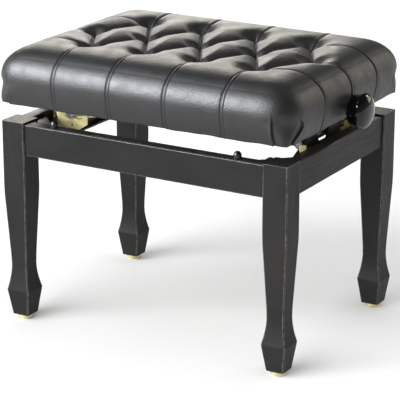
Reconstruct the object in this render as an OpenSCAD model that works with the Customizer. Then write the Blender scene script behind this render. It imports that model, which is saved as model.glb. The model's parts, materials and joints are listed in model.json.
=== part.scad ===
// Height-adjustable piano bench: a wooden frame on four spade-footed legs, a double
// scissor lift driven by one lead screw with a knob at each end, and a tufted seat.
// Millimetres, +Z up. The origin is on the floor under the middle of the frame,
// X runs along the long side and Y towards the back. The seat stands at its stored height.

/* [Frame] */
// Width of the frame over the legs
frame_w = 560; // [520:1:640]
// Depth of the frame over the legs
frame_d = 410; // [380:1:460]
// Height of the leg tops above the floor
leg_top = 368; // [330:1:420]
// Side of the square leg at its top
leg_sq = 45.5; // [38:0.5:46]
// Side of the leg at its neck
neck_sq = 32.5; // [27:0.5:34]
// Side of the spade foot at its shoulder
foot_sq = 45.5; // [40:0.5:48]
// Height of a rail
rail_h = 56; // [52:1:64]
// Thickness of a rail
rail_t = 24; // [20:1:26]

/* [Seat] */
// Gap between the leg tops and the underside of the seat as stored
seat_gap = 34; // [34:1:40]
// Width of the seat at its lower hem
seat_w = 564; // [540:1:600]
// Depth of the seat at its lower hem
seat_d = 421; // [400:1:440]
// Height from the hem to the crown of the upholstery
seat_h = 100; // [92:1:110]
// How far the padded sides swell past the hem
side_swell = 10; // [4:1:14]

/* [Lift] */
// Distance between the end pivots of a scissor arm
arm_l = 440; // [420:1:445]
// Distance the seat rises from its stored height
lift_up = 75; // [40:1:80]
// Distance the seat sinks from its stored height
lift_down = 23; // [10:1:23]
// Diameter of the lead screw
screw_d = 14; // [12:1:16]
// Diameter of a height knob
knob_d = 61; // [50:1:66]

/* [Hidden] */
$fn = 48;

// Frame heights and faces
glide_h = 8;
glide_d = 28;
shoulder_z = 56;
neck_z = 102;
sole_sq = 32.5;
straight_z = leg_top - 125;
leg_chamfer = 1.6;
rail_inset = 4;
rail_top = leg_top - 3;
rail_chamfer = 1.5;
leg_x = frame_w/2 - leg_sq/2;
leg_y = frame_d/2 - leg_sq/2;
rail_in_x = frame_w/2 - rail_inset - rail_t;
rail_in_y = frame_d/2 - rail_inset - rail_t;
rail_z = rail_top - rail_h/2;

// Seat levels
seat_z = leg_top + seat_gap;
leather_t = 2;
board_t = 18;
board_z0 = seat_z + leather_t;
board_h = 56;
ply_t = 9;
ply_z = board_z0 + board_h;
pad_z = ply_z + ply_t;
box_w = seat_w - 20;
box_d = seat_d - 20;

// Lift geometry: the drive arms turn on a fixed lower pivot at the right, the guide arms
// slide in the base at the left, and the two cross at their middles
pivot_x = 226;
pivot_z = leg_top - 4;
upper_z = seat_z + 33;
screw_z = seat_z + 16;
theta = asin((upper_z - pivot_z)/arm_l);
slide_x = pivot_x - arm_l*cos(theta);
slide_x_low = pivot_x - sqrt(pow(arm_l, 2) - pow(upper_z - lift_down - pivot_z, 2));
slide_x_high = pivot_x - sqrt(pow(arm_l, 2) - pow(upper_z + lift_up - pivot_z, 2));
centre_x = (pivot_x + slide_x)/2;
centre_z = (pivot_z + upper_z)/2;

// Lift sections: plates and bars, and how far from the middle plane each one stands
plate_t = 3;
arm_w = 18;
arm_t = 5;
drive_y = 50;
guide_y = 88;
rod_d = 10;
bush_d = 14;
track_y = 95;
slot_h = bush_d + 0.8;
run_gap = 0.08;
web_x = 237;
ear_y = drive_y + arm_t + 3;

// Bearings of the lead screw
journal_d = screw_d - 2;
bush_out_d = 18;
collar_d = 24;
collar_t = 8;

tiny = 0.01;

black_paint = [0.10, 0.10, 0.11];
black_steel = [0.07, 0.07, 0.08];
zinc = [0.72, 0.68, 0.42];
brass = [0.85, 0.74, 0.42];
steel = [0.62, 0.63, 0.65];
leather_black = [0.13, 0.13, 0.14];
foam = [0.86, 0.82, 0.66];
stained_wood = [0.20, 0.14, 0.10];

// ---------------------------------------------------------------- shared shapes

// A block from one corner to the opposite one
module block(low, high) {
    translate(low) cube(high - low);
}

// A cylinder along X, Y or Z that starts at a point
module rod_x(at, d, l) {
    translate(at) rotate([0, 90, 0]) cylinder(d = d, h = l);
}
module rod_y(at, d, l) {
    translate(at) rotate([-90, 0, 0]) cylinder(d = d, h = l);
}
module rod_z(at, d, l) {
    translate(at) cylinder(d = d, h = l);
}

// A rectangle with its corners cut at 45 degrees
module cut_rect(w, h, c) {
    polygon([
        [-w/2 + c, -h/2], [w/2 - c, -h/2], [w/2, -h/2 + c], [w/2, h/2 - c],
        [w/2 - c, h/2], [-w/2 + c, h/2], [-w/2, h/2 - c], [-w/2, -h/2 + c]
    ]);
}

// A chamfered bar of section w by h, centred, running along X
module bar_x(l, w, h, c) {
    rotate([90, 0, 90]) linear_extrude(height = l, center = true) cut_rect(w, h, c);
}

// Children copied to the front and the back, mirrored
module front_and_back() {
    children();
    mirror([0, 1, 0]) children();
}

// Children copied to the right and the left, mirrored
module both_ends() {
    children();
    mirror([1, 0, 0]) children();
}

// Children copied to all four corners, mirrored
module four_corners() {
    both_ends() front_and_back() children();
}

// A slot through an XZ plate, along X between two centres
module slot_y(x0, x1, z, h, y0, l) {
    block([x0, y0, z - h/2], [x1, y0 + l, z + h/2]);
    rod_y([x0, y0, z], h, l);
    rod_y([x1, y0, z], h, l);
}

// ---------------------------------------------------------------- wooden frame

// Half side of a leg at steps from the sole to the top: the foot widens to its shoulder,
// a hollow flare narrows to the neck, and a straight taper widens to the square top
flare_steps = 7;
function flare(i) = let (t = i/flare_steps)
    [neck_sq/2 + (foot_sq - neck_sq)/2*pow(1 - t, 1.8), shoulder_z + (neck_z - shoulder_z)*t];
leg_side = concat(
    [[sole_sq/2, glide_h], [foot_sq/2, shoulder_z - 2]],
    [for (i = [0 : flare_steps]) flare(i)],
    [[neck_sq/2 + 0.4, neck_z + 16], [leg_sq/2 - 0.3, straight_z - 10], [leg_sq/2, straight_z + 6],
     [leg_sq/2, leg_top]]
);

// An upright prism with the leg's outline; k and cut turn it into the chamfering one
module leg_prism(k, cut) {
    side = [for (p = leg_side) [p[0]*k - cut, p[1]]];
    back = [for (i = [len(side) - 1 : -1 : 0]) [-side[i][0], side[i][1]]];
    rotate([90, 0, 0]) linear_extrude(height = 80, center = true) polygon(concat(side, back));
}

module leg_blank() {
    intersection() {
        leg_prism(1, 0);
        rotate([0, 0, 90]) leg_prism(1, 0);
        rotate([0, 0, 45]) leg_prism(sqrt(2), leg_chamfer/sqrt(2));
        rotate([0, 0, 135]) leg_prism(sqrt(2), leg_chamfer/sqrt(2));
    }
}

// Heights of the two bolts in each corner
bolt_zs = [rail_z - 12, rail_z + 12];
bolt_d = 8;
bolt_l = 62;
glide_pin_d = 4;
glide_pin_l = 16;

// Children placed on the diagonal through the front left corner, X pointing into the leg
module on_corner_axis() {
    translate([-leg_x + leg_sq/2, -leg_y + leg_sq/2, 0]) rotate([0, 0, 225]) children();
}

module front_left_leg() {
    color(black_paint) difference() {
        translate([-leg_x, -leg_y, 0]) leg_blank();
        for (z = bolt_zs) on_corner_axis() rod_x([-10, 0, z], bolt_d + 0.2, 36);
        rod_z([-leg_x, -leg_y, 0], glide_pin_d + 0.1, glide_h + glide_pin_l);
    }
}
module leg_front_left() { front_left_leg(); }
module leg_front_right() { mirror([1, 0, 0]) front_left_leg(); }
module leg_back_left() { mirror([0, 1, 0]) front_left_leg(); }
module leg_back_right() { mirror([1, 0, 0]) mirror([0, 1, 0]) front_left_leg(); }

// Bumper places on the front and back rails
bumper_x = 180;
bumper_d = 14;
bumper_h = 12.5;
stem_d = 6;
stem_l = 10;
rail_y = frame_d/2 - rail_inset - rail_t/2;

module front_rail() {
    color(black_paint) difference() {
        translate([0, -rail_y, rail_z]) bar_x(frame_w - 2*leg_sq, rail_t, rail_h, rail_chamfer);
        for (s = [-1, 1]) rod_z([s*bumper_x, -rail_y, rail_top - stem_l], stem_d + 0.1, stem_l + 1);
    }
}
module rail_front() { front_rail(); }
module rail_back() { mirror([0, 1, 0]) front_rail(); }

// Wood screws that hold the rail brackets, on the inner face of an end rail
bracket_y = [64, 88];
bracket_screw_y = 76;
bracket_screw_zs = [leg_top - 38, leg_top - 14];
wood_screw_d = 4;

module right_rail() {
    color(black_paint) difference() {
        translate([rail_in_x + rail_t/2, 0, rail_z]) rotate([0, 0, 90])
            bar_x(frame_d - 2*leg_sq, rail_t, rail_h, rail_chamfer);
        for (z = bracket_screw_zs) front_and_back()
            rod_x([rail_in_x - 1, -bracket_screw_y, z], wood_screw_d + 0.1, 16);
    }
}
module rail_right() { right_rail(); }
module rail_left() { mirror([1, 0, 0]) right_rail(); }

// Glue block across a corner, notched round the leg, with the two bolt holes
block_reach = 46;
module corner_blocks() {
    notch_x = frame_w/2 - leg_sq;
    notch_y = frame_d/2 - leg_sq;
    color(black_paint) four_corners() difference() {
        translate([0, 0, rail_z - 22]) linear_extrude(height = 44) polygon([
            [notch_x, -notch_y], [rail_in_x, -notch_y], [rail_in_x, -notch_y + block_reach],
            [notch_x - block_reach, -rail_in_y], [notch_x, -rail_in_y]
        ]);
        for (z = bolt_zs) mirror([1, 0, 0]) on_corner_axis() rod_x([-60, 0, z], bolt_d + 1, 80);
    }
}

// Hanger bolt, washer and nut: two in each corner
nut_at = -31;
module leg_bolts() {
    color(steel) four_corners() mirror([1, 0, 0]) for (z = bolt_zs) on_corner_axis() {
        rod_x([nut_at - 12, 0, z], bolt_d, bolt_l);
        rod_x([nut_at - 2, 0, z], 18, 2);
        translate([nut_at - 8, 0, z]) rotate([0, 90, 0]) cylinder(d = 14, h = 6, $fn = 6);
    }
}

// Brass glide with a rounded sole edge, nailed up into the leg
module foot_glides() {
    r = glide_d/2;
    edge = 2.5;
    color(brass) four_corners() translate([leg_x, leg_y, 0]) {
        rotate_extrude() polygon(concat(
            [[0, 0]],
            [for (a = [-90 : 30 : 0]) [r - edge + edge*cos(a), edge + edge*sin(a)]],
            [[r - 0.6, glide_h], [0, glide_h]]
        ));
        rod_z([0, 0, glide_h - tiny], glide_pin_d, glide_pin_l - 1);
    }
}

// Rubber dome with a stem in the rail
module seat_bumpers() {
    r = bumper_d/2;
    dome = bumper_h - r;
    color("black") four_corners() translate([bumper_x, rail_y, rail_top]) {
        rotate_extrude() polygon(concat(
            [[0, 0], [r, 0]],
            [for (a = [0 : 15 : 90]) [r*cos(a), dome + r*sin(a)]]
        ));
        rod_z([0, 0, -stem_l + 1], stem_d, stem_l);
    }
}

// ---------------------------------------------------------------- base of the lift

// Pressed steel end plate: an upright web with a flared notch under the lead screw,
// sloping shoulders and a stiffening lip along its foot
web_foot_z = leg_top - 50;
web_half = 104;
notch_half = 26;
notch_floor = 14;
module end_web() {
    difference() {
        translate([web_x, 0, 0]) rotate([90, 0, 90]) linear_extrude(height = plate_t) polygon([
            [-web_half, web_foot_z], [web_half, web_foot_z], [web_half, leg_top - 14],
            [66, leg_top + 3], [60, leg_top + 12], [notch_half, leg_top + 12],
            [notch_floor, leg_top - 10], [-notch_floor, leg_top - 10],
            [-notch_half, leg_top + 12], [-60, leg_top + 12], [-66, leg_top + 3],
            [-web_half, leg_top - 14]
        ]);
        for (z = bracket_screw_zs) front_and_back()
            rod_x([web_x - 1, -bracket_screw_y, z], wood_screw_d + 0.1, plate_t + 2);
    }
    block([web_x - 14, -web_half, web_foot_z - plate_t], [web_x + plate_t, web_half, web_foot_z]);
}

// The right end plate also has the two ears of the fixed lower pivot
module end_plate_right() {
    color(black_steel) {
        end_web();
        front_and_back() difference() {
            union() {
                block([pivot_x, ear_y, pivot_z - 12], [web_x + tiny, ear_y + plate_t, pivot_z + 12]);
                rod_y([pivot_x, ear_y, pivot_z], 20, plate_t);
            }
            rod_y([pivot_x, ear_y - 1, pivot_z], rod_d, plate_t + 2);
        }
    }
}
module end_plate_left() { color(black_steel) mirror([1, 0, 0]) end_web(); }

// Zinc-plated channel that joins an end plate to its rail: one near each end of both plates
module rail_brackets() {
    outer_x = web_x + plate_t;
    z0 = leg_top - 46;
    z1 = leg_top + 3;
    color(zinc) four_corners() difference() {
        union() {
            block([outer_x, bracket_y[1] - plate_t, z0], [rail_in_x, bracket_y[1], z1]);
            block([outer_x, bracket_y[0], z0], [outer_x + 2, bracket_y[1] - plate_t + tiny, z1 - 8]);
            block([rail_in_x - 2, bracket_y[0], z0], [rail_in_x, bracket_y[1] - plate_t + tiny, z1 - 8]);
        }
        for (z = bracket_screw_zs)
            rod_x([outer_x - 1, bracket_screw_y, z], wood_screw_d + 0.1, 20);
    }
}

// Pan-head wood screws through web, bracket and rail
module frame_screws() {
    color(steel) four_corners() for (z = bracket_screw_zs) {
        rod_x([web_x - 2.4, bracket_screw_y, z], 8.5, 2.4);
        rod_x([web_x - tiny, bracket_screw_y, z], wood_screw_d, 28);
    }
}

// Zinc slide plate at the left: a foot on the web and an ear with the slot of the guide arms
module slide_plate_front() {
    y1 = -track_y;
    y0 = y1 - plate_t;
    color(zinc) difference() {
        union() {
            translate([0, y1, 0]) rotate([90, 0, 0]) linear_extrude(height = plate_t) polygon([
                [-web_x, leg_top - 34], [-196, leg_top - 34], [-174, leg_top - 20],
                [-174, leg_top + 9], [-web_x, leg_top + 9]
            ]);
            block([-web_x, y1 - tiny, leg_top - 33], [2 - web_x, y1 + 24, leg_top - 19]);
        }
        slot_y(slide_x_low, slide_x_high, pivot_z, slot_h, y0 - 1, plate_t + 2);
        rod_y([-206, y0 - 1, leg_top - 24], 6, plate_t + 2);
    }
}
module slide_plate_back() { mirror([0, 1, 0]) slide_plate_front(); }

// Rod fixed in the right end plate's ears, with a small head at each end
module lower_pivot_rod() {
    half = ear_y + plate_t;
    color(steel) {
        rod_y([pivot_x, -half, pivot_z], rod_d, 2*half);
        rod_y([pivot_x, -half - 2, pivot_z], 13, 2);
        rod_y([pivot_x, half, pivot_z], 13, 2);
    }
}

// ---------------------------------------------------------------- scissor arms

// A flat bar with round ends in its own frame: its pivot at the origin, its far end at -X
module arm_bar(y0, end_hole_d, mid_hole_d, far_hole_d) {
    difference() {
        union() {
            block([-arm_l, y0, -arm_w/2], [0, y0 + arm_t, arm_w/2]);
            for (x = [0, -arm_l]) rod_y([x, y0, 0], arm_w, arm_t);
        }
        rod_y([0, y0 - 1, 0], end_hole_d, arm_t + 2);
        rod_y([-arm_l/2, y0 - 1, 0], mid_hole_d, arm_t + 2);
        rod_y([-arm_l, y0 - 1, 0], far_hole_d, arm_t + 2);
    }
}

// Children placed on the drive arms, which rise from the fixed lower pivot to the left
module on_drive_arms() {
    translate([pivot_x, 0, pivot_z]) rotate([0, theta, 0]) children();
}

// Children placed on the guide arms, which fall from the seat's pivot to the left
module on_guide_arms() {
    translate([pivot_x, 0, upper_z]) rotate([0, -theta, 0]) children();
}

pin_d = 8;
tube_d = 16;
function running(d) = d + 2*run_gap;

module drive_arm(y0) {
    on_drive_arms() arm_bar(y0, tube_d, pin_d, running(rod_d));
}
module drive_arm_back() { color(black_steel) drive_arm(drive_y); }
module drive_arm_front() { color(black_steel) drive_arm(-drive_y - arm_t); }

module guide_arm(y0) {
    on_guide_arms() arm_bar(y0, running(rod_d), running(pin_d), rod_d);
}
module guide_arm_back() { color(zinc) guide_arm(guide_y); }
module guide_arm_front() { color(zinc) guide_arm(-guide_y - arm_t); }

// Plate across a pair of arms, folded down against each arm, with windows
module cross_plate(x0, x1, half, windows, window_half) {
    difference() {
        block([x0, -half, -arm_w/2], [x1, half, plate_t - arm_w/2]);
        for (y = windows)
            block([x0 + 14, y - window_half, -arm_w/2 - 1], [x1 - 14, y + window_half, arm_w/2]);
    }
    for (s = [-1, 1])
        block([x0, s*half - (s > 0 ? plate_t : 0), plate_t - arm_w/2 - tiny],
              [x1, s*half + (s > 0 ? 0 : plate_t), arm_w/2 - 2]);
}
module drive_cross_plate() {
    color(black_steel) on_drive_arms() cross_plate(-90, -30, drive_y, [0], 28);
}
module guide_cross_plate() {
    color(black_steel) on_guide_arms()
        cross_plate(30 - arm_l, 90 - arm_l, guide_y, [-44, 44], 28);
}

// Tube between the drive arms, through both, that turns on the lower pivot rod
module drive_pivot_tube() {
    half = drive_y + arm_t;
    color(black_steel) difference() {
        rod_y([pivot_x, -half, pivot_z], tube_d, 2*half);
        rod_y([pivot_x, -half - 1, pivot_z], running(rod_d), 2*half + 2);
    }
}

// Headed pins where the arms cross, one at the front and one at the back
module centre_pins() {
    y0 = drive_y - 2;
    y1 = guide_y + arm_t + 0.5;
    color(steel) front_and_back() {
        rod_y([centre_x, y0, centre_z], pin_d, y1 - y0 + 2);
        rod_y([centre_x, y0 - tiny, centre_z], 14, 2);
        rod_y([centre_x, y1, centre_z], 14, 2);
    }
}

// Spacer on each pin between the two arms
module centre_spacers() {
    color(zinc) front_and_back() difference() {
        rod_y([centre_x, drive_y + arm_t, centre_z], 14, guide_y - drive_y - arm_t - 0.5);
        rod_y([centre_x, drive_y, centre_z], pin_d, 40);
    }
}

// Rod through the guide arms' lower ends, which slides in the base's slots
module lower_slide_rod() {
    half = track_y + plate_t + 3;
    color(steel) {
        rod_y([slide_x, -half, pivot_z], rod_d, 2*half);
        front_and_back() rod_y([slide_x, half - 2, pivot_z], 18, 2);
    }
}

// Nylon bush with a collar inside the plate, on each end of a slide rod
module slide_bush(z) {
    front_and_back() difference() {
        union() {
            rod_y([slide_x, track_y - 0.5, z], bush_d, plate_t + 1);
            rod_y([slide_x, guide_y + arm_t + 0.1, z], 18, 1.4);
        }
        rod_y([slide_x, guide_y, z], rod_d, 20);
    }
}
module lower_slide_bushes() { color("white") slide_bush(pivot_z); }

// ---------------------------------------------------------------- nut on the screw

// Rod that turns in the drive arms' upper ends and slides in the seat's tracks
module nut_rod() {
    half = track_y + plate_t + 3;
    color(steel) {
        rod_y([slide_x, -half, upper_z], rod_d, 2*half);
        front_and_back() rod_y([slide_x, half - 2, upper_z], 18, 2);
    }
}
module upper_slide_bushes() { color("white") slide_bush(upper_z); }

// Steel nut block that hangs on the rod and rides along the screw
nut_l = 26;
module nut_block() {
    color(zinc) difference() {
        block([slide_x - nut_l/2, -14, screw_z - 13], [slide_x + nut_l/2, 14, upper_z + 9]);
        rod_x([slide_x - nut_l, 0, screw_z], running(screw_d), 2*nut_l);
        rod_y([slide_x, -20, upper_z], rod_d, 40);
    }
}

// ---------------------------------------------------------------- seat structure

// Steel track under the seat board with the slot of the nut rod
track_screw_xs = [-228, -186];
module seat_track_back() {
    color(zinc) difference() {
        union() {
            block([-242, track_y, upper_z - 12], [-172, track_y + plate_t, ply_z]);
            block([-242, track_y + plate_t - tiny, ply_z - plate_t], [-172, track_y + 26, ply_z]);
        }
        slot_y(slide_x_low, slide_x_high, upper_z, slot_h, track_y - 1, plate_t + 2);
        for (x = track_screw_xs)
            rod_z([x, track_y + 16, ply_z - 5], wood_screw_d + 0.1, 10);
    }
}
module seat_track_front() { mirror([0, 1, 0]) seat_track_back(); }

// Steel bracket under the seat board that holds the upper pivot rod
bracket_screw_xs = [pivot_x - 14, pivot_x + 14];
module seat_pivot_bracket_back() {
    color(zinc) difference() {
        union() {
            block([pivot_x - 22, track_y, upper_z - 2], [pivot_x + 22, track_y + plate_t, ply_z]);
            rod_y([pivot_x, track_y, upper_z], 24, plate_t);
            block([pivot_x - 22, track_y + plate_t - tiny, ply_z - plate_t],
                  [pivot_x + 22, track_y + 26, ply_z]);
        }
        rod_y([pivot_x, track_y - 1, upper_z], rod_d, plate_t + 2);
        for (x = bracket_screw_xs)
            rod_z([x, track_y + 16, ply_z - 5], wood_screw_d + 0.1, 10);
    }
}
module seat_pivot_bracket_front() { mirror([0, 1, 0]) seat_pivot_bracket_back(); }

module upper_pivot_rod() {
    half = track_y + plate_t;
    color(steel) {
        rod_y([pivot_x, -half, upper_z], rod_d, 2*half);
        rod_y([pivot_x, -half - 2, upper_z], 13, 2);
        rod_y([pivot_x, half, upper_z], 13, 2);
    }
}

// Screws that hold the tracks and pivot brackets up against the seat board
seat_screw_l = 7;
module seat_screws() {
    color(steel) front_and_back() for (x = concat(track_screw_xs, bracket_screw_xs)) {
        rod_z([x, track_y + 16, ply_z - plate_t - 2.4], 8.5, 2.4);
        rod_z([x, track_y + 16, ply_z - plate_t - tiny], wood_screw_d, seat_screw_l + plate_t);
    }
}

// Plywood seat board
module seat_board() {
    color(stained_wood) difference() {
        block([-box_w/2, -box_d/2, ply_z], [box_w/2, box_d/2, pad_z]);
        front_and_back() for (x = concat(track_screw_xs, bracket_screw_xs))
            rod_z([x, track_y + 16, ply_z - 1], wood_screw_d + 0.1, seat_screw_l + 1.5);
    }
}

// Boards of the seat box
module seat_side_front() {
    color(stained_wood)
        block([-box_w/2, -box_d/2, board_z0], [box_w/2, -box_d/2 + board_t, ply_z]);
}
module seat_side_back() { mirror([0, 1, 0]) seat_side_front(); }
module seat_side_right() {
    color(stained_wood) difference() {
        block([box_w/2 - board_t, -box_d/2 + board_t, board_z0],
              [box_w/2, box_d/2 - board_t, ply_z]);
        rod_x([box_w/2 - board_t - 1, 0, screw_z], bush_out_d, board_t + 2);
    }
}
module seat_side_left() { mirror([1, 0, 0]) seat_side_right(); }

// Flanged bearing bush of the lead screw, pressed into an end board from inside
module screw_bush_right() {
    inner_x = box_w/2 - board_t;
    color(brass) difference() {
        union() {
            rod_x([inner_x, 0, screw_z], bush_out_d, board_t);
            rod_x([inner_x - 2, 0, screw_z], 24, 2);
        }
        rod_x([inner_x - 3, 0, screw_z], running(journal_d), board_t + 4);
    }
}
module screw_bush_left() { mirror([1, 0, 0]) screw_bush_right(); }

// ---------------------------------------------------------------- upholstery

// Half outline of the upholstery, from the hem up: the side swells, the shoulder rounds
// over and the top rises a little towards the middle; inset makes the inner outlines
shoulder_r = 26;
crown = 4;
function side_bulge(t) = side_swell*(1 - pow(1 - min(1, t/0.55), 2));
function half_outline(half, inset) = let (top = seat_z + seat_h - crown) concat(
    [for (i = [0 : 5]) let (z = i/5*(seat_h - crown - shoulder_r))
        [half + side_bulge(i/5) - inset, seat_z + z]],
    [for (a = [15 : 15 : 90])
        [half + side_swell - shoulder_r + (shoulder_r - inset)*cos(a),
         top - shoulder_r + (shoulder_r - inset)*sin(a)]],
    [[half*0.45, top + crown*0.8 - inset], [0, top + crown - inset]]
);
module outline_prism(half, inset, l) {
    side = half_outline(half, inset);
    back = [for (i = [len(side) - 2 : -1 : 0]) [-side[i][0], side[i][1]]];
    rotate([90, 0, 0]) linear_extrude(height = l, center = true) polygon(concat(side, back));
}

// The whole upholstered form, less an inset all over but at the hem
module seat_form(inset) {
    intersection() {
        outline_prism(seat_w/2, inset, 2*frame_d);
        rotate([0, 0, 90]) outline_prism(seat_d/2, inset, 2*frame_w);
    }
}

knob_hole_d = 22;
module knob_holes() {
    both_ends() rod_x([seat_w/2 - 30, 0, screw_z], knob_hole_d, 60);
}

// Leather over the pad and the sides, turned under the seat box at the hem
module leather_cover() {
    turn_in = 14;
    color(leather_black) difference() {
        seat_form(0);
        intersection() {
            seat_form(leather_t);
            block([-frame_w, -frame_d, board_z0], [frame_w, frame_d, seat_z + 2*seat_h]);
        }
        block([-box_w/2 + turn_in, -box_d/2 + turn_in, seat_z - 1],
              [box_w/2 - turn_in, box_d/2 - turn_in, board_z0 + 1]);
        knob_holes();
    }
}

// Foam on the seat board
module foam_pad() {
    color(foam) intersection() {
        seat_form(leather_t);
        block([-frame_w, -frame_d, pad_z], [frame_w, frame_d, seat_z + 2*seat_h]);
    }
}

// Padding strips round the seat box; the end strips fit between the long ones
module side_pad_ring(low, high) {
    color(foam) difference() {
        intersection() {
            seat_form(leather_t);
            block(low, high);
        }
        knob_holes();
    }
}
module side_pad_front() {
    side_pad_ring([-frame_w, -frame_d, board_z0], [frame_w, -box_d/2, pad_z]);
}
module side_pad_back() {
    side_pad_ring([-frame_w, box_d/2, board_z0], [frame_w, frame_d, pad_z]);
}
module side_pad_left() {
    side_pad_ring([-frame_w, -box_d/2, board_z0], [-box_w/2, box_d/2, pad_z]);
}
module side_pad_right() {
    side_pad_ring([box_w/2, -box_d/2, board_z0], [frame_w, box_d/2, pad_z]);
}

// ---------------------------------------------------------------- screw and knobs

knob_x = seat_w/2 + 12.5;
knob_t = 34.5;
knob_socket = 18;
journal_x = box_w/2 - board_t - 2 - collar_t;
module lead_screw() {
    end_x = knob_x + knob_socket;
    color(steel) {
        rod_x([-journal_x, 0, screw_z], screw_d, 2*journal_x);
        both_ends() rod_x([journal_x - tiny, 0, screw_z], journal_d, end_x - journal_x);
    }
}

// Collar on the screw at the inner face of each bush
module thrust_collars() {
    color(zinc) both_ends() difference() {
        rod_x([journal_x, 0, screw_z], collar_d, collar_t - 0.2);
        rod_x([journal_x - 1, 0, screw_z], journal_d, collar_t + 2);
    }
}

// Turned knob: a thick hub that widens in a cone to a narrow rim, and a domed face
rim_x = 17.5;
hub_r = 26;
// Place of the grub screw along the knob
grub_x = 5;
module knob_right() {
    r = knob_d/2;
    dome_h = knob_t - rim_x - 3;
    color("black") difference() {
        translate([knob_x, 0, screw_z]) rotate([0, 90, 0]) rotate_extrude() polygon(concat(
            [[0, 0], [hub_r - 2, 0], [hub_r, 2], [hub_r + 1, 9], [r - 1, rim_x], [r, rim_x + 1],
             [r, rim_x + 3]],
            [for (a = [10 : 10 : 80]) [r*cos(a), rim_x + 3 + dome_h*sin(a)]],
            [[0, knob_t]]
        ));
        rod_x([knob_x - 1, 0, screw_z], journal_d, knob_socket + 1);
        rod_z([knob_x + grub_x, 0, screw_z], 4, 2*hub_r);
    }
}
module knob_left() { rotate([0, 0, 180]) knob_right(); }

module knob_grub_screws() {
    color(steel) both_ends()
        rod_z([knob_x + grub_x, 0, screw_z + journal_d/2], 4, hub_r - journal_d/2 - 1);
}

// ---------------------------------------------------------------- assembly

leg_front_left();
leg_front_right();
leg_back_left();
leg_back_right();
rail_front();
rail_back();
rail_left();
rail_right();
corner_blocks();
leg_bolts();
foot_glides();
seat_bumpers();
end_plate_left();
end_plate_right();
rail_brackets();
frame_screws();
slide_plate_front();
slide_plate_back();
lower_pivot_rod();
drive_arm_front();
drive_arm_back();
drive_cross_plate();
drive_pivot_tube();
centre_pins();
centre_spacers();
guide_arm_front();
guide_arm_back();
guide_cross_plate();
lower_slide_rod();
lower_slide_bushes();
nut_rod();
nut_block();
upper_slide_bushes();
seat_track_front();
seat_track_back();
seat_pivot_bracket_front();
seat_pivot_bracket_back();
upper_pivot_rod();
seat_screws();
seat_board();
seat_side_front();
seat_side_back();
seat_side_left();
seat_side_right();
screw_bush_left();
screw_bush_right();
foam_pad();
side_pad_front();
side_pad_back();
side_pad_left();
side_pad_right();
leather_cover();
lead_screw();
thrust_collars();
knob_left();
knob_right();
knob_grub_screws();
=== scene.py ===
"""Looks of an adjustable piano bench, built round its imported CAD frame.

Metres, in the CAD's own frame: X runs along the long side, Y towards the back, Z up.
"""

import math

import bmesh
import bpy
import numpy as np
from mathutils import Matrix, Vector
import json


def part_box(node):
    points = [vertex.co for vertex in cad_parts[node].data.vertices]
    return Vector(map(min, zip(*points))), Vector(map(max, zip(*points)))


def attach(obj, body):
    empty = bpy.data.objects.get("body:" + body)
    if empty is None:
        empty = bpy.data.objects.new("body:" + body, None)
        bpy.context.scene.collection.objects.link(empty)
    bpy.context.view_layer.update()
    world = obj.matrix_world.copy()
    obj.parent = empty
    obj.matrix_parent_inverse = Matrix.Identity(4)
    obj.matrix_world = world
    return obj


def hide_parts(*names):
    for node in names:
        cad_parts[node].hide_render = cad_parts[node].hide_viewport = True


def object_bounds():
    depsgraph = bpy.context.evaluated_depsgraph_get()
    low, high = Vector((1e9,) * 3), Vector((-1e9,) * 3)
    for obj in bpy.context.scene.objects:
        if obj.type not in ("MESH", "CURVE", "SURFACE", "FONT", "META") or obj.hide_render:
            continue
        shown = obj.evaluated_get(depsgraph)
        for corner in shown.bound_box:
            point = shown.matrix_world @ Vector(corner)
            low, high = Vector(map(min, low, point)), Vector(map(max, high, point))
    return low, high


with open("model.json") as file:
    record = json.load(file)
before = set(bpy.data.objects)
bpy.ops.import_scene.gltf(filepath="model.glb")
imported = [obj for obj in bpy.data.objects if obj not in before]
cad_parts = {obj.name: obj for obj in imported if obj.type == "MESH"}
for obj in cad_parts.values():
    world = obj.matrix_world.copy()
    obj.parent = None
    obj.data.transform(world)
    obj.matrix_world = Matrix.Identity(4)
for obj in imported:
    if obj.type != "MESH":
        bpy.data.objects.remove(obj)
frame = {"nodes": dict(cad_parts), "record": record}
NODES = frame["nodes"]
CAD_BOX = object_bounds()
MM = 0.001


# ---------------------------------------------------------------- mesh helpers


def mesh_object(name, points, faces):
    """A smooth-shaded mesh object from lists of points and faces."""
    mesh = bpy.data.meshes.new(name)
    mesh.from_pydata([tuple(p) for p in points], [], [tuple(f) for f in faces])
    made = bpy.data.objects.new(name, mesh)
    bpy.context.scene.collection.objects.link(made)
    mesh.polygons.foreach_set("use_smooth", [True] * len(mesh.polygons))
    return made


def cleaned(obj, merge=1e-6):
    """Merges shared borders and turns every face outwards."""
    work = bmesh.new()
    work.from_mesh(obj.data)
    bmesh.ops.remove_doubles(work, verts=work.verts, dist=merge)
    bmesh.ops.recalc_face_normals(work, faces=work.faces)
    work.to_mesh(obj.data)
    work.free()
    return obj


def painted(obj, material):
    """Gives every face of a piece one material."""
    obj.data.materials.clear()
    obj.data.materials.append(material)
    return obj


def smooth_step(t):
    """0 below 0, 1 above 1, and a smooth rise between."""
    t = np.clip(t, 0.0, 1.0)
    return t * t * (3 - 2 * t)


def ridge(distance, width):
    """Height from 0 to 1 of a narrow rounded ridge or groove."""
    return np.exp(-((distance / width) ** 2))


def clustered(count, pull=0.6):
    """Steps from 0 to 1 that lie closer together at both ends."""
    t = np.linspace(0, 1, count + 1)
    return t - pull * np.sin(2 * np.pi * t) / (2 * np.pi)


def grid_faces(rows, columns, first=0):
    """Quads of a grid whose points are listed row by row."""
    at = first + np.arange(rows * columns).reshape(rows, columns)
    corners = [at[:-1, :-1], at[:-1, 1:], at[1:, 1:], at[1:, :-1]]
    return np.stack(corners, -1).reshape(-1, 4)


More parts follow.
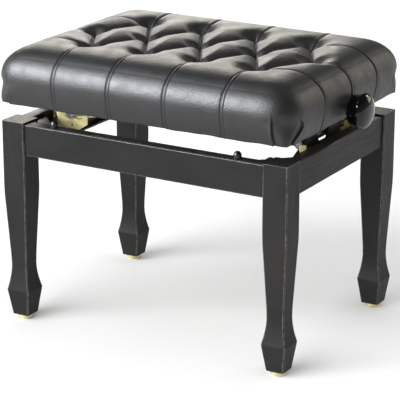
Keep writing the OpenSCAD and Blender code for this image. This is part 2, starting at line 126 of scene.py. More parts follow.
def towards(azimuth, elevation):
    """Direction from the bench given by two angles in degrees; azimuth 0 is straight in front."""
    a, e = math.radians(azimuth), math.radians(elevation)
    return Vector((math.sin(a) * math.cos(e), -math.cos(a) * math.cos(e), math.sin(e)))


def placed_facing(obj, back):
    """Puts a camera or light in the scene, looking against a direction."""
    obj.rotation_mode = "QUATERNION"
    obj.rotation_quaternion = (-back).to_track_quat("-Z", "Y")
    bpy.context.scene.collection.objects.link(obj)
    return obj


def turned(name, profile, start, axis, segments=96):
    """A closed turned piece: profile is (radius, distance along the axis) from end to end."""
    direction = Vector(axis).normalized()
    side = direction.orthogonal().normalized()
    other = direction.cross(side)
    points, faces = [], []
    for radius, along in profile:
        for k in range(segments):
            angle = 2 * math.pi * k / segments
            spoke = side * math.cos(angle) + other * math.sin(angle)
            points.append(Vector(start) + direction * along + spoke * radius)
    for ring in range(len(profile) - 1):
        for k in range(segments):
            a = ring * segments + k
            b = ring * segments + (k + 1) % segments
            faces.append((a, b, b + segments, a + segments))
    last = (len(profile) - 1) * segments
    faces.append(tuple(range(segments)))
    faces.append(tuple(last + k for k in reversed(range(segments))))
    return cleaned(mesh_object(name, points, faces), 1e-7)


# ---------------------------------------------------------------- tufted seat

cover_low, cover_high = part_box("leather_cover")
board_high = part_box("seat_board")[1]
side_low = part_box("seat_side_front")[0]

# half length, half width, height of the hem and thickness of the upholstery
SEAT_A = cover_high.x
SEAT_B = cover_high.y
HEM_Z = cover_low.z
SEAT_T = cover_high.z - cover_low.z

# shoulder: how far it reaches in and down, and how square it and the corners are in plan
SHOULDER_R = 74 * MM
SHOULDER_H = 58 * MM
SHOULDER_POWER = 2.3
CORNER_POWER = 3.0
HEM_CORNER_R = 32 * MM

# the sides stand this far out over the hem, from this share of the thickness upwards
SWELL = 10 * MM
SWELL_FROM = 0.55
# rise of the middle of the top over its borders
CROWN = 3 * MM

# tufts: step along X between columns, step along Y between rows, pull, reach and sharpness
TUFT_STEP = 54.5 * MM
TUFT_ROW = 97.5 * MM
TUFT_DEPTH = 36 * MM
TUFT_REACH = 58 * MM
TUFT_POWER = 2.7
PLEAT_COLUMNS = [-3, -1, 1, 3]
MIDDLE_COLUMNS = [-4, -2, 0, 2, 4]

# gathers: small radial pinches in a ring round each tuft
GATHERS = 7
GATHER_DEPTH = 0.9 * MM
GATHER_RING = 13 * MM
GATHER_WIDTH = 10 * MM

# diagonal folds: valley, the sharp groove at its bottom, and the lap of leather beside it
FOLD_DEPTH = 17 * MM
FOLD_REACH = 47 * MM
FOLD_GROOVE, FOLD_GROOVE_WIDTH = 1.6 * MM, 1.5 * MM
FOLD_LAP, FOLD_LAP_WIDTH = 1.0 * MM, 1.6 * MM
FOLD_LAP_AT = 3.6 * MM

# pleats: valley that fades out over the shoulder, groove, lap, and a second line lower down
PLEAT_DEPTH = 10 * MM
PLEAT_END_DEPTH = 0.6 * MM
PLEAT_REACH, PLEAT_END_REACH = 46 * MM, 10 * MM
PLEAT_FADE = 80 * MM
PLEAT_START = 6 * MM
PLEAT_GROOVE, PLEAT_GROOVE_WIDTH = 1.1 * MM, 1.1 * MM
PLEAT_LAP, PLEAT_LAP_WIDTH = 0.7 * MM, 2.0 * MM
PLEAT_LAP_AT = 3.8 * MM
SECOND_LINE, SECOND_LINE_WIDTH = 0.5 * MM, 1.3 * MM
SECOND_LINE_AT = 7.5 * MM
SECOND_LINE_FROM, SECOND_LINE_RISE = 45 * MM, 40 * MM

# power mean that joins neighbouring pulls with a short blend
PULL_BLEND = 5.0

# corner panel: distance of its two folds from the corner, on the long side and high on the end
CORNER_FOLD = 34 * MM
CORNER_FOLD_END = 36 * MM
# the end's fold slants from the hem out to an elbow, and comes back above it
END_FOLD_LOW, END_FOLD_ELBOW = 25 * MM, 50 * MM
ELBOW_Z = 30 * MM
ELBOW_BACK = 18 * MM
# heights that set where the panel fades out on each side; its recess, groove and lip
CORNER_FADE_Z, END_CORNER_FADE_Z = 52 * MM, 46 * MM
PANEL_RECESS = 2.8 * MM
PANEL_GROOVE = 1.8 * MM
PANEL_LIP = 1.0 * MM

# hem: two waves along it, their height, and how far up the sides they reach
HEM_WAVE, HEM_SHORT_WAVE = 17 * MM, 7.3 * MM
HEM_WAVE_HEIGHT = 0.5 * MM
HEM_WAVE_REACH = 16 * MM

# net of the skin: steps per column and per row, lines up the sides, and how much they cluster
NET_X = 44
NET_Y = 76
NET_Z = 49
NET_PULL = 0.35


def grid_lines(half, tuft_steps, step, steps, border, border_steps):
    """Lines of the seat's net along one axis, close together at tufts, pleats and corners."""
    lines = [(m + t) * step for m in range(tuft_steps) for t in clustered(steps, NET_PULL)[:-1]]
    outer = tuft_steps * step
    for (low, high), count in zip(((outer, half - border), (half - border, half)), border_steps):
        lines += list(low + (high - low) * clustered(count)[:-1])
    positive = np.array(lines + [half])
    return np.concatenate([-positive[:0:-1], positive])


def corner_fold_at(height):
    """Distance of the end face's slanted corner fold from the corner, at a height above the hem."""
    rise = END_FOLD_LOW + (END_FOLD_ELBOW - END_FOLD_LOW) * smooth_step(height / ELBOW_Z)
    back = smooth_step((height - ELBOW_Z) / ELBOW_BACK)
    return rise * (1 - back) + CORNER_FOLD_END * back


def rounded_box(x, y, z):
    """Carries points of a sharp box to a rounded, swelling one; gives points and normals."""
    side_h = SEAT_T - SHOULDER_H
    plan_r = HEM_CORNER_R + (SHOULDER_R - HEM_CORNER_R) * smooth_step(z / side_h)
    cx = np.clip(x, plan_r - SEAT_A, SEAT_A - plan_r)
    cy = np.clip(y, plan_r - SEAT_B, SEAT_B - plan_r)
    cz = np.minimum(z, side_h)
    ox, oy, oz = (x - cx) / plan_r, (y - cy) / plan_r, (z - cz) / SHOULDER_H
    plan = (np.abs(ox) ** CORNER_POWER + np.abs(oy) ** CORNER_POWER) ** (1 / CORNER_POWER)
    whole = (plan**SHOULDER_POWER + oz**SHOULDER_POWER) ** (1 / SHOULDER_POWER)
    reach = np.stack([ox, oy, oz], -1) / whole[..., None]
    size = np.stack([plan_r, plan_r, np.full_like(plan_r, SHOULDER_H)], -1)
    point = np.stack([cx, cy, cz], -1) + reach * size
    normal = reach / size
    normal /= np.linalg.norm(normal, axis=-1, keepdims=True)
    pull_in = SWELL * (1 - np.minimum(1, z / (SWELL_FROM * SEAT_T))) ** 2
    point[..., :2] -= normal[..., :2] * pull_in[..., None]
    arch = (1 - (x / SEAT_A) ** 2) * (1 - (y / SEAT_B) ** 2)
    point[..., 2] -= CROWN * (1 - arch) * (z / SEAT_T) ** 2
    return point, normal


def tufts():
    """The tufts, in the plane of the seat: rows of four, five and four."""
    rows = [(-TUFT_ROW, PLEAT_COLUMNS), (0.0, MIDDLE_COLUMNS), (TUFT_ROW, PLEAT_COLUMNS)]
    return [(column * TUFT_STEP, y) for y, columns in rows for column in columns]


def folds():
    """Diagonal folds, each between a tuft of an outer row and one of the middle row."""
    return [
        ((column * TUFT_STEP, side * TUFT_ROW), ((column + turn) * TUFT_STEP, 0.0))
        for side in (-1, 1)
        for column in PLEAT_COLUMNS
        for turn in (-1, 1)
    ]


def pleats():
    """Straight pleats, each from a tuft over the edge to the hem: (start, direction)."""
    along_y = [((c * TUFT_STEP, s * TUFT_ROW), (0, s)) for s in (-1, 1) for c in PLEAT_COLUMNS]
    outer, middle = PLEAT_COLUMNS[-1], MIDDLE_COLUMNS[-1]
    from_outer = [
        ((s * outer * TUFT_STEP, r * TUFT_ROW), (s, 0)) for s in (-1, 1) for r in (-1, 1)
    ]
    from_middle = [((s * middle * TUFT_STEP, 0.0), (s, 0)) for s in (-1, 1)]
    return along_y + from_outer + from_middle


def creased(distance, reach, depth, roundness=1.7):
    """Depth of a crease between two puffs whose sections are close to round arcs."""
    near = np.maximum(0, 1 - distance / reach)
    return depth * (1 - (1 - near**roundness) ** (1 / roundness))


def tuft_pull(u, v, x, y):
    """Pull of one tuft, and the gathers round it."""
    r = np.hypot(u - x, v - y)
    turn = np.arctan2(v - y, u - x)
    pull = TUFT_DEPTH * np.maximum(0, 1 - r / TUFT_REACH) ** TUFT_POWER
    gathers = np.maximum(0, np.cos(GATHERS * turn + 40 * x + 25 * y)) ** 4
    return pull, GATHER_DEPTH * gathers * ridge(r - GATHER_RING, GATHER_WIDTH)


def fold_pull(u, v, start, end):
    """Pull of one diagonal fold, and its groove with the lap beside it."""
    (x0, y0), (x1, y1) = start, end
    run = np.array([x1 - x0, y1 - y0])
    length = np.hypot(*run)
    t = ((u - x0) * run[0] + (v - y0) * run[1]) / length**2
    near = np.clip(t, 0, 1)
    d = np.hypot(u - x0 - near * run[0], v - y0 - near * run[1])
    side = ((u - x0) * run[1] - (v - y0) * run[0]) / length
    lap = ridge(side - FOLD_LAP_AT, FOLD_LAP_WIDTH) * smooth_step(8 * t * (1 - t))
    groove = FOLD_GROOVE * ridge(d, FOLD_GROOVE_WIDTH) - FOLD_LAP * lap
    return creased(d, FOLD_REACH, FOLD_DEPTH), groove


def pleat_pull(u, v, start, direction):
    """Pull of one straight pleat, and its groove, lap and second line."""
    (x0, y0), (dx, dy) = start, direction
    s = (u - x0) * dx + (v - y0) * dy
    across = (u - x0) * -dy + (v - y0) * dx
    d = np.hypot(across, np.minimum(s, 0))
    fade = 1 - smooth_step(np.maximum(s, 0) / PLEAT_FADE)
    depth = PLEAT_END_DEPTH + (PLEAT_DEPTH - PLEAT_END_DEPTH) * fade
    reach = PLEAT_END_REACH + (PLEAT_REACH - PLEAT_END_REACH) * fade
    begun = smooth_step(s / PLEAT_START)
    low = smooth_step((s - SECOND_LINE_FROM) / SECOND_LINE_RISE)
    groove = PLEAT_GROOVE * ridge(d, PLEAT_GROOVE_WIDTH)
    lap = PLEAT_LAP * ridge(across - PLEAT_LAP_AT, PLEAT_LAP_WIDTH)
    second = SECOND_LINE * ridge(across - SECOND_LINE_AT, SECOND_LINE_WIDTH)
    return creased(d, reach, depth), begun * (groove - lap) + low * second


def tufting_depth(u, v):
    """How far the leather is drawn in at each point of the unrolled cover."""
    pulls = [tuft_pull(u, v, *tuft) for tuft in tufts()]
    pulls += [fold_pull(u, v, *fold) for fold in folds()]
    pulls += [pleat_pull(u, v, *pleat) for pleat in pleats()]
    deep = sum(pull**PULL_BLEND for pull, _ in pulls) ** (1 / PULL_BLEND)
    return deep + sum(groove for _, groove in pulls)


def corner_pleat_depth(c, height, fold, top):
    """Recess of the corner panel between its two folds: c is the distance from the corner."""
    fade_from, fade_over = 0.6 * top, 0.5 * top
    fade = 1 - smooth_step((height - fade_from) / fade_over)
    inside = smooth_step((fold - c) / (1.4 * MM) + 0.5)
    groove = ridge(c - fold + 0.8 * MM, 1.2 * MM)
    lip = ridge(c - fold - 2.2 * MM, 2.0 * MM)
    return fade * (PANEL_RECESS * inside + PANEL_GROOVE * groove - PANEL_LIP * lip)


def hem_wave(perimeter, height):
    """Small rise and fall of the hem where the leather is gathered and stapled."""
    wave = np.sin(perimeter / HEM_WAVE) + 0.6 * np.sin(perimeter / HEM_SHORT_WAVE + 1.3)
    return HEM_WAVE_HEIGHT * wave * np.maximum(0, 1 - height / HEM_WAVE_REACH) ** 2


def seat_patch(x, y, z, side):
    """Points of one face of the seat's net, after rounding, tufting and pleating."""
    drop = SEAT_T - z
    u = x + np.sign(x) * drop if side == "end" else x
    v = y + np.sign(y) * drop if side == "long" else y
    if side == "end":
        fold = corner_fold_at(z)
        c = SEAT_B - np.abs(y)
        stretch = np.where(c < CORNER_FOLD_END, c * fold / CORNER_FOLD_END, 0)
        room = SEAT_B - TUFT_ROW - CORNER_FOLD_END
        outside = fold + (c - CORNER_FOLD_END) * (SEAT_B - TUFT_ROW - fold) / room
        warped = np.where(c < CORNER_FOLD_END, stretch, outside)
        c = np.where(c < SEAT_B - TUFT_ROW, warped, c)
        y = np.sign(y) * (SEAT_B - c)
        v = y
    point, normal = rounded_box(x, y, z)
    depth = tufting_depth(u, v)
    if side == "long":
        c = SEAT_A - np.abs(x)
        depth += corner_pleat_depth(c, z, np.full_like(z, CORNER_FOLD), CORNER_FADE_Z)
        point[..., 2] += hem_wave(x, z)
    if side == "end":
        depth += corner_pleat_depth(c, z, fold, END_CORNER_FADE_Z)
        point[..., 2] += hem_wave(y + SEAT_A, z)
    point = point - normal * depth[..., None]
    point[..., 2] += HEM_Z
    return point


def seat_net():
    """The lines of the seat's net along X, Y and Z."""
    x_lines = grid_lines(SEAT_A, MIDDLE_COLUMNS[-1], TUFT_STEP, NET_X, CORNER_FOLD, (20, 18))
    y_lines = grid_lines(SEAT_B, 1, TUFT_ROW, NET_Y, CORNER_FOLD_END, (44, 18))
    z_lines = np.linspace(0, SEAT_T, NET_Z)
    return x_lines, y_lines, z_lines


def on_fold(x_lines, y_lines):
    """Faces of the top's net, with the quads nearest to a fold cut along it."""
    rows, columns = len(y_lines), len(x_lines)
    # a cell counts as on a fold when its middle is this near, in units of two columns or rows
    near = 0.010
    at = np.arange(rows * columns).reshape(rows, columns)
    faces = []
    for j in range(rows - 1):
        for i in range(columns - 1):
            a, b, c, d = at[j, i], at[j, i + 1], at[j + 1, i + 1], at[j + 1, i]
            mx = (x_lines[i] + x_lines[i + 1]) / 2
            my = (y_lines[j] + y_lines[j + 1]) / 2
            if abs(mx) > MIDDLE_COLUMNS[-1] * TUFT_STEP or abs(my) > TUFT_ROW:
                faces.append((a, b, c, d))
                continue
            p, q = mx / TUFT_STEP, my / TUFT_ROW
            up = abs((p - q) / 2 - round((p - q) / 2)) < near
            down = abs((p + q) / 2 - round((p + q) / 2)) < near
            if up:
                faces += [(a, b, c), (a, c, d)]
            elif down:
                faces += [(a, b, d), (b, c, d)]
            else:
                faces.append((a, b, c, d))
    return faces


def seat_skin():
    """Top and four sides of the seat; the end sides share the long sides' corner points."""
    x_lines, y_lines, z_lines = seat_net()
    points, faces = [], []

    def add(patch, patch_faces):
        """Adds a patch with its own faces."""
        first = len(points)
        points.extend(patch.reshape(-1, 3))
        faces.extend([tuple(int(k) + first for k in f) for f in patch_faces])

    gx, gy = np.meshgrid(x_lines, y_lines)
    add(seat_patch(gx, gy, np.full_like(gx, SEAT_T), "top"), on_fold(x_lines, y_lines))
    long_sides = {}
    for s in (-1, 1):
        gx, gz = np.meshgrid(x_lines, z_lines)
        long_sides[s] = seat_patch(gx, np.full_like(gx, s * SEAT_B), gz, "long")
        add(long_sides[s], grid_faces(*gx.shape))
    for s, corner in ((-1, 0), (1, -1)):
        gy, gz = np.meshgrid(y_lines, z_lines)
        end_side = seat_patch(np.full_like(gy, s * SEAT_A), gy, gz, "end")
        end_side[:, 0] = long_sides[-1][:, corner]
        end_side[:, -1] = long_sides[1][:, corner]
        add(end_side, grid_faces(*gy.shape))
    return points, faces


def hem_ring(x_lines, y_lines):
    """Sharp plan points round the hem, in order."""
    front = [(x, -SEAT_B) for x in x_lines[:-1]]
    right = [(SEAT_A, y) for y in y_lines[:-1]]
    back = [(x, SEAT_B) for x in x_lines[:0:-1]]
    left = [(-SEAT_A, y) for y in y_lines[:0:-1]]
    return np.array(front + right + back + left)


def hem_points(ring):
    """Where the skin ends, for each sharp plan point of the hem."""
    x, y = ring[:, 0], ring[:, 1]
    z = np.zeros(len(ring))
    on_long = np.abs(np.abs(y) - SEAT_B) < 1e-9
    long_points = seat_patch(x, y, z, "long")
    end_points = seat_patch(x, y, z, "end")
    return np.where(on_long[:, None], long_points, end_points)


def seat_underside(points, faces):
    """Closes the skin: turned-under hem, then round the wooden box and across the board."""
    x_lines, y_lines, _ = seat_net()
    ring = hem_ring(x_lines, y_lines)
    clear = 0.3 * MM
    turn_in = 14 * MM
    half_x, half_y = board_high.x, board_high.y
    levels = [
        (half_x - turn_in, half_y - turn_in, HEM_Z),
        (half_x - turn_in, half_y - turn_in, side_low.z - clear),
        (half_x + clear, half_y + clear, side_low.z - clear),
        (half_x + clear, half_y + clear, board_high.z + clear),
    ]
    loops = [hem_points(ring)]
    for a, b, z in levels:
        scaled = ring * np.array([a / SEAT_A, b / SEAT_B])
        loops.append(np.column_stack([scaled, np.full(len(ring), z)]))
    first = len(points)
    n = len(ring)
    for loop in loops:
        points.extend(loop)
    for level in range(len(loops) - 1):
        for k in range(n):
            a = first + level * n + k
            b = first + level * n + (k + 1) % n
            faces.append((a, a + n, b + n, b))
    last = first + (len(loops) - 1) * n
    faces.append(tuple(last + k for k in range(n)))


def bored(obj, centre, radius, length):
    """Cuts a round hole along X through a closed mesh."""
    drill = turned("drill", [(radius, 0.0), (radius, length)], centre, (1, 0, 0), 48)
    cut = obj.modifiers.new("bore", "BOOLEAN")
    cut.operation = "DIFFERENCE"
    cut.object = drill
    cut.solver = "MANIFOLD"
    bpy.context.view_layer.update()
    done = bpy.data.meshes.new_from_object(obj.evaluated_get(bpy.context.evaluated_depsgraph_get()))
    obj.modifiers.clear()
    obj.data = done
    bpy.data.objects.remove(drill)


def tufted_seat():
    """The upholstery: tufted leather over foam, down the sides and under the hem."""
    points, faces = seat_skin()
    seat_underside(points, faces)
    seat = cleaned(mesh_object("tufted_leather_seat", points, faces), 1e-5)
    screw_low, screw_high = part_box("lead_screw")
    screw_z = (screw_low.z + screw_high.z) / 2
    bore_r, bore_length, overrun = 11 * MM, 30 * MM, 5 * MM
    for start in (-SEAT_A - overrun, board_high.x - overrun):
        bored(seat, (start, 0, screw_z), bore_r, bore_length)
    seat.data.polygons.foreach_set("use_smooth", [True] * len(seat.data.polygons))
    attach(seat, "seat")
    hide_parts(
        "leather_cover",
        "foam_pad",
        "side_pad_front",
        "side_pad_back",
        "side_pad_left",
        "side_pad_right",
    )
    return seat


# ---------------------------------------------------------------- knobs and eased wood


def arc(centre, radii, start, stop, steps):
    """Points of an elliptical arc: centre and radii are (radius, along), angles in degrees."""
    angles = np.radians(np.linspace(start, stop, steps + 1))
    return [
        (centre[0] + radii[0] * math.cos(a), centre[1] + radii[1] * math.sin(a)) for a in angles
    ]


def turned_knob(side):
    """Height knob: thick hub, cone up to a narrow rim, domed face."""
    low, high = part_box("knob_" + side)
    radius = (high.z - low.z) / 2
    length = high.x - low.x
    middle = (low + high) / 2
    hub_r, hub_edge, cone_at, cone_steps = 26 * MM, 2 * MM, 6 * MM, 12
    rim_at, rim_t = 17.5 * MM, 3 * MM
    rim_r = rim_t / 2
    profile = arc((hub_r - hub_edge, hub_edge), (hub_edge, hub_edge), -90, 0, 5)
    cone = radius - 1 * MM - hub_r
    for k in range(1, cone_steps + 1):
        t = k / cone_steps
        profile.append((hub_r + cone * t**1.6, cone_at + (rim_at - cone_at) * t))
    profile += arc((radius - rim_r, rim_at + rim_r), (rim_r, rim_r), -60, 0, 6)
    dome = length - rim_at - rim_t
    profile += arc((0, rim_at + rim_t), (radius, dome), 4, 89, 26)
    outward = 1 if side == "right" else -1
    start = (low.x if side == "right" else high.x, middle.y, middle.z)
    knob = turned("glossy_knob_" + side, profile, start, (outward, 0, 0))
    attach(knob, "screw")
    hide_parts("knob_" + side)
    return painted(knob, LOOKS["black_knob"])


def eased(node, body, slot):
    """A copy of a wooden piece whose sharp edges have a small round, painted lighter as a
    highlight.
    """
    edge_round, edge_steps = 1.2 * MM, 3
    flat, sharp_from = math.radians(1), math.radians(14)
    piece = mesh_object("eased_" + node, [], [])
    piece.data = NODES[node].data.copy()
    painted(piece, look_of(node, slot))
    # the rounded edges take a second, lighter material: a painted highlight
    piece.data.materials.append(EDGE_HIGHLIGHT_PAINT)
    work = bmesh.new()
    work.from_mesh(piece.data)
    bmesh.ops.remove_doubles(work, verts=work.verts, dist=1e-6)
    bmesh.ops.dissolve_limit(work, angle_limit=flat, verts=work.verts, edges=work.edges)
    shared = [e for e in work.edges if len(e.link_faces) == 2]
    sharp = [e for e in shared if e.calc_face_angle() > sharp_from]
    bmesh.ops.bevel(
        work,
        geom=sharp,
        offset=edge_round,
        segments=edge_steps,
        profile=0.5,
        affect="EDGES",
        clamp_overlap=True,
        material=1,
    )
    work.to_mesh(piece.data)
    work.free()
    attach(piece, body)
    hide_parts(node)
    return piece


# ---------------------------------------------------------------- materials


class Paint:
    """A material under construction: its node tree, its shader and the usual nodes."""

    def __init__(self, name, **shader):
        self.material = bpy.data.materials.new(name)
        self.material.use_nodes = True
        self.tree = self.material.node_tree
        self.shader = self.tree.nodes["Principled BSDF"]
        for key, value in shader.items():
            self.shader.inputs[key.replace("_", " ")].default_value = value
        self.place = self.tree.nodes.new("ShaderNodeTexCoord").outputs["Object"]

    def link(self, start, end):
        """Joins an output to an input."""
        self.tree.links.new(start, end)

    def stretched(self, scale):
        """Object coordinates stretched by a scale for each axis."""
        node = self.tree.nodes.new("ShaderNodeMapping")
        node.inputs["Scale"].default_value = scale
        self.link(self.place, node.inputs["Vector"])
        return node.outputs["Vector"]

    def noise(self, scale, detail=4.0, roughness=0.55, distortion=0.0, stretch=(1, 1, 1)):
        """Clouds or fibres; stretch is the scale of each axis."""
        node = self.tree.nodes.new("ShaderNodeTexNoise")
        node.inputs["Scale"].default_value = scale
        node.inputs["Detail"].default_value = detail
        node.inputs["Roughness"].default_value = roughness
        node.inputs["Distortion"].default_value = distortion
        self.link(self.stretched(stretch), node.inputs["Vector"])
        return node.outputs["Fac"]

    def pebbles(self, scale):
        """Small rounded cells, as in pressed leather grain."""
        node = self.tree.nodes.new("ShaderNodeTexVoronoi")
        node.feature = "SMOOTH_F1"
        node.inputs["Scale"].default_value = scale
        node.inputs["Smoothness"].default_value = 0.6
        self.link(self.stretched((1, 1, 1)), node.inputs["Vector"])
        return node.outputs["Distance"]

    def ramp(self, factor, *stops):
        """Colours along a factor: each stop is (position, (r, g, b)) or (position, grey)."""
        node = self.tree.nodes.new("ShaderNodeValToRGB")
        elements = node.color_ramp.elements
        while len(elements) < len(stops):
            elements.new(0.5)
        for element, (position, colour) in zip(elements, stops):
            rgb = colour if isinstance(colour, tuple) else (colour,) * 3
            element.position = position
            element.color = (*rgb, 1.0)
        self.link(factor, node.inputs["Fac"])
        return node.outputs["Color"]

    def mixed(self, factor, a, b):
        """Mix of two colour outputs by a factor."""
        node = self.tree.nodes.new("ShaderNodeMix")
        node.data_type = "RGBA"
        self.link(factor, node.inputs["Factor"])
        self.link(a, node.inputs["A"])
        self.link(b, node.inputs["B"])
        return node.outputs["Result"]

    def colour(self, output):
        """Sets the base colour."""
        self.link(output, self.shader.inputs["Base Color"])

    def roughness(self, factor, low, high):
        """Roughness that follows a factor between two values."""
        self.link(self.ramp(factor, (0.3, low), (0.7, high)), self.shader.inputs["Roughness"])

    def bump(self, height, depth, strength=1.0):
        """Adds a bump of a depth in metres on top of any bump that is there."""
        node = self.tree.nodes.new("ShaderNodeBump")
        node.inputs["Strength"].default_value = strength
        node.inputs["Distance"].default_value = depth
        self.link(height, node.inputs["Height"])
        normal = self.shader.inputs["Normal"]
        if normal.is_linked:
            self.link(normal.links[0].from_socket, node.inputs["Normal"])
        self.link(node.outputs["Normal"], normal)


def black_leather():
    """Black leather: pebbled grain, small wrinkles and soft waves."""
    paint = Paint("black_leather", IOR=1.48)
    dark, light = (0.0065, 0.0065, 0.0070), (0.0110, 0.0108, 0.0105)
    paint.colour(paint.ramp(paint.noise(9.0, 3.0), (0.3, dark), (0.7, light)))
    paint.roughness(paint.noise(38.0, 5.0), 0.42, 0.54)
    paint.bump(paint.pebbles(430.0), 0.45 * MM, 0.50)
    paint.bump(paint.noise(150.0, 5.0), 0.70 * MM, 0.40)
    paint.bump(paint.noise(26.0, 3.0, distortion=0.6), 1.5 * MM, 0.30)
    return paint.material


def lacquered_wood(name, grain):
    """Black satin lacquer over open grain; grain stretches the texture along one axis."""
    paint = Paint(name, IOR=1.45, Specular_IOR_Level=0.12)
    fibres = paint.noise(240.0, 6.0, 0.65, 0.3, grain)
    dark, light = (0.0125, 0.0122, 0.0127), (0.0215, 0.0202, 0.0192)
    paint.colour(paint.ramp(paint.noise(7.0, 3.0), (0.3, dark), (0.7, light)))
    paint.roughness(fibres, 0.32, 0.52)
    paint.bump(fibres, 0.20 * MM, 0.5)
    paint.bump(paint.noise(55.0, 3.0), 0.35 * MM, 0.3)
    return paint.material


def stained_wood(name, grain):
    """Dark stained plywood and softwood with darker fibres."""
    paint = Paint(name, Roughness=0.72)
    fibres = paint.noise(90.0, 7.0, 0.6, 0.8, grain)
    rings = paint.noise(16.0, 3.0, 0.5, 1.5, grain)
    pale = paint.ramp(fibres, (0.3, (0.040, 0.028, 0.018)), (0.7, (0.075, 0.052, 0.034)))
    dark = paint.ramp(fibres, (0.3, (0.022, 0.016, 0.011)), (0.7, (0.050, 0.036, 0.025)))
    paint.colour(paint.mixed(paint.ramp(rings, (0.42, 0.0), (0.6, 1.0)), pale, dark))
    paint.bump(fibres, 0.3 * MM, 0.5)
    return paint.material


def painted_steel():
    """Black paint on sheet steel, with a fine orange peel."""
    paint = Paint("black_steel", IOR=1.5, Specular_IOR_Level=0.45)
    orange_peel = paint.noise(420.0, 3.0)
    dark, light = (0.006, 0.006, 0.007), (0.014, 0.013, 0.013)
    paint.colour(paint.ramp(paint.noise(14.0), (0.35, dark), (0.7, light)))
    paint.roughness(paint.noise(60.0), 0.34, 0.52)
    paint.bump(orange_peel, 0.08 * MM, 0.4)
    return paint.material


def yellow_zinc():
    """Yellow-passivated zinc with the greenish and reddish clouds of the real finish."""
    paint = Paint("yellow_zinc", Metallic=0.65)
    clouds = paint.noise(24.0, 3.0, 0.5, 1.2)
    hues = paint.ramp(
        clouds,
        (0.30, (0.80, 0.78, 0.40)),
        (0.44, (0.92, 0.84, 0.42)),
        (0.54, (0.86, 0.70, 0.36)),
        (0.66, (0.74, 0.76, 0.48)),
    )
    paint.colour(hues)
    paint.roughness(paint.noise(90.0, 4.0), 0.28, 0.5)
    paint.bump(paint.noise(300.0, 4.0), 0.05 * MM, 0.35)
    return paint.material


def painted_edge_highlight():
    """Rounded wood edges painted lighter in patches: a painted highlight for light catching the
    edges.
    """
    paint = Paint("painted_edge_highlight", IOR=1.45)
    edge_dark, painted_glint = (0.04, 0.037, 0.035), (0.26, 0.240, 0.230)
    # the lighter colour is painted highlight on the edges, not wear of the lacquer
    paint.colour(paint.ramp(paint.noise(160.0, 5.0), (0.35, edge_dark), (0.62, painted_glint)))
    paint.roughness(paint.noise(90.0), 0.25, 0.4)
    return paint.material


def bare_metal(name, colour, rough):
    """Machined or plated metal with fine scratches."""
    paint = Paint(name, Metallic=1.0)
    dull = tuple(0.72 * c for c in colour)
    paint.colour(paint.ramp(paint.noise(30.0), (0.35, dull), (0.7, colour)))
    scratches = paint.noise(500.0, 5.0, 0.6)
    paint.roughness(scratches, rough, rough + 0.18)
    paint.bump(scratches, 0.04 * MM, 0.4)
    return paint.material


def moulded(name, dark, light, rough):
    """Moulded rubber or plastic with a faint surface texture."""
    paint = Paint(name)
    paint.colour(paint.ramp(paint.noise(40.0), (0.3, dark), (0.7, light)))
    paint.roughness(paint.noise(120.0, 4.0), rough, rough + 0.08)
    paint.bump(paint.noise(600.0, 3.0), 0.06 * MM, 0.3)
    return paint.material


def gloss_knob():
    """Polished black plastic."""
    paint = Paint("black_knob", IOR=1.42)
    paint.colour(paint.ramp(paint.noise(60.0), (0.3, 0.0015), (0.7, 0.003)))
    paint.roughness(paint.noise(200.0, 5.0), 0.03, 0.07)
    paint.bump(paint.noise(45.0, 2.0), 0.05 * MM, 0.15)
    return paint.material


ALONG = {"x": (0.06, 1, 1), "y": (1, 0.06, 1), "z": (1, 1, 0.06)}
lacquer = {axis: lacquered_wood("black_lacquer_" + axis, ALONG[axis]) for axis in "xyz"}
stained = {axis: stained_wood("stained_wood_" + axis, ALONG[axis]) for axis in "xy"}
LOOKS = {
    "black_lacquered_wood": lacquer["z"],
    "stained_wood": stained["x"],
    "zinc_screws": bare_metal("zinc_screws", (0.74, 0.71, 0.55), 0.3),
    "brass_glides": bare_metal("brass_glides", (0.86, 0.74, 0.44), 0.26),
    "rubber": moulded("rubber", (0.004, 0.004, 0.004), (0.008, 0.008, 0.008), 0.26),
    "black_steel": painted_steel(),
    "yellow_zinc": yellow_zinc(),
    "bright_steel": bare_metal("bright_steel", (0.66, 0.66, 0.67), 0.22),
    "nylon": moulded("nylon", (0.72, 0.70, 0.64), (0.82, 0.80, 0.75), 0.45),
    "bronze": bare_metal("bronze", (0.62, 0.45, 0.24), 0.34),
    "foam": moulded("foam", (0.70, 0.62, 0.38), (0.80, 0.72, 0.48), 0.85),
    "black_leather": black_leather(),
    "black_knob": gloss_knob(),
}
# lighter paint for the rounded wood edges: a painted highlight
EDGE_HIGHLIGHT_PAINT = painted_edge_highlight()
OWN_GRAIN = {
    "rail_front": lacquer["x"],
    "rail_back": lacquer["x"],
    "rail_left": lacquer["y"],
    "rail_right": lacquer["y"],
    "seat_side_left": stained["y"],
    "seat_side_right": stained["y"],
}


def look_of(node, slot):
    """The look of a node's slot, turned to its own grain where it has one."""
    return OWN_GRAIN.get(node, LOOKS[slot])


def paint_cad_nodes():
    """Gives each CAD node its look."""
    for part in frame["record"]["subparts"]:
        painted(NODES[part["node"]], look_of(part["node"], part["material_slot"]))


# ---------------------------------------------------------------- set


def set_camera():
    """Camera at the picture's angle, aimed a little below the middle of the bench."""
    distance, lens = 3.356, 170.6
    low, high = CAD_BOX
    framing = Vector((0.005, -0.0105, -0.0366))
    aim = (low + high) / 2 + framing
    back = towards(30.33, 18.09)
    camera = bpy.data.objects.new("camera", bpy.data.cameras.new("camera"))
    camera.data.lens = lens
    camera.data.sensor_width = 36.0
    camera.location = aim + back * distance
    camera.data.clip_end = 60.0
    bpy.context.scene.camera = placed_facing(camera, back)


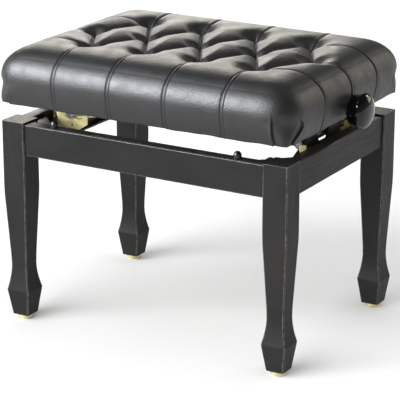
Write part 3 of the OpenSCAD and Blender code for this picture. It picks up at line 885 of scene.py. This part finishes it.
def soft_light(name, azimuth, elevation, distance, size, power, colour):
    """Softbox aimed at the bench from a direction given in degrees; it only makes shine."""
    back = towards(azimuth, elevation)
    data = bpy.data.lights.new(name, "AREA")
    data.shape = "RECTANGLE"
    data.size, data.size_y = size
    data.energy = power
    data.color = colour
    light = bpy.data.objects.new(name, data)
    light.location = Vector((0, 0, 0.35)) + back * distance
    light.visible_diffuse = False
    placed_facing(light, back)


def soft_sun(name, azimuth, elevation, strength, spread):
    """Broad daylight from a direction given in degrees; it brightens without making shine."""
    data = bpy.data.lights.new(name, "SUN")
    data.energy = strength
    data.angle = math.radians(spread)
    light = bpy.data.objects.new(name, data)
    light.visible_glossy = False
    placed_facing(light, towards(azimuth, elevation))


def set_world():
    """Studio walls: pale at the bench's own level, dark overhead."""
    world = bpy.data.worlds.new("studio")
    world.use_nodes = True
    tree = world.node_tree
    background = tree.nodes["Background"]
    place = tree.nodes.new("ShaderNodeTexCoord")
    split = tree.nodes.new("ShaderNodeSeparateXYZ")
    ramp = tree.nodes.new("ShaderNodeValToRGB")
    stops = [(0.0, (0.34, 0.33, 0.31)), (0.30, (0.20, 0.20, 0.19)), (0.70, (0.05, 0.05, 0.055))]
    ramp.color_ramp.elements.new(0.5)
    for element, (position, colour) in zip(ramp.color_ramp.elements, stops):
        element.position = position
        element.color = (*colour, 1.0)
    tree.links.new(place.outputs["Generated"], split.inputs["Vector"])
    tree.links.new(split.outputs["Z"], ramp.inputs["Fac"])
    tree.links.new(ramp.outputs["Color"], background.inputs["Color"])
    background.inputs["Strength"].default_value = 1.0
    bpy.context.scene.world = world


def set_floor():
    """Plain pale floor."""
    half = 20.0
    corners = [(-half, -half, 0), (half, -half, 0), (half, half, 0), (-half, half, 0)]
    floor = mesh_object("floor", corners, [(0, 1, 2, 3)])
    paint = Paint("pale_floor", Roughness=0.85, Specular_IOR_Level=0.2)
    paint.colour(paint.ramp(paint.noise(1.5), (0.3, 0.90), (0.7, 0.93)))
    painted(floor, paint.material)


def set_lights():
    """Two suns for brightness; softboxes in front, behind and above for shine."""
    soft_sun("overhead", 0, 90, 2.1, 130)
    soft_sun("front_fill", -22, 24, 4.0, 60)
    soft_light("key_left_front", -38, 27, 2.6, (1.9, 1.5), 300, (0.92, 0.95, 1.0))
    soft_light("window_back_left", 216, 19, 3.2, (1.7, 0.6), 40, (1.0, 0.96, 0.88))
    soft_light("warm_back_right", 145, 14, 2.6, (1.0, 0.8), 8, (1.0, 0.93, 0.75))
    soft_light("glint_back_right", 150, 30, 2.6, (0.6, 0.5), 9, (1.0, 0.97, 0.90))
    soft_light("edge_top_left", -57, 55, 2.6, (0.6, 0.5), 14, (0.95, 0.97, 1.0))
    soft_light("strip_front", -6, 6, 3.0, (0.22, 0.8), 7, (1.0, 1.0, 1.0))


# ---------------------------------------------------------------- the bench

paint_cad_nodes()
painted(tufted_seat(), LOOKS["black_leather"])
for side in ("left", "right"):
    turned_knob(side)
for part in frame["record"]["subparts"]:
    if part["material_slot"] == "black_lacquered_wood" and part["node"] != "corner_blocks":
        eased(part["node"], "base", "black_lacquered_wood")
set_camera()
set_world()
set_floor()
set_lights()
bpy.context.scene.view_settings.view_transform = "Standard"
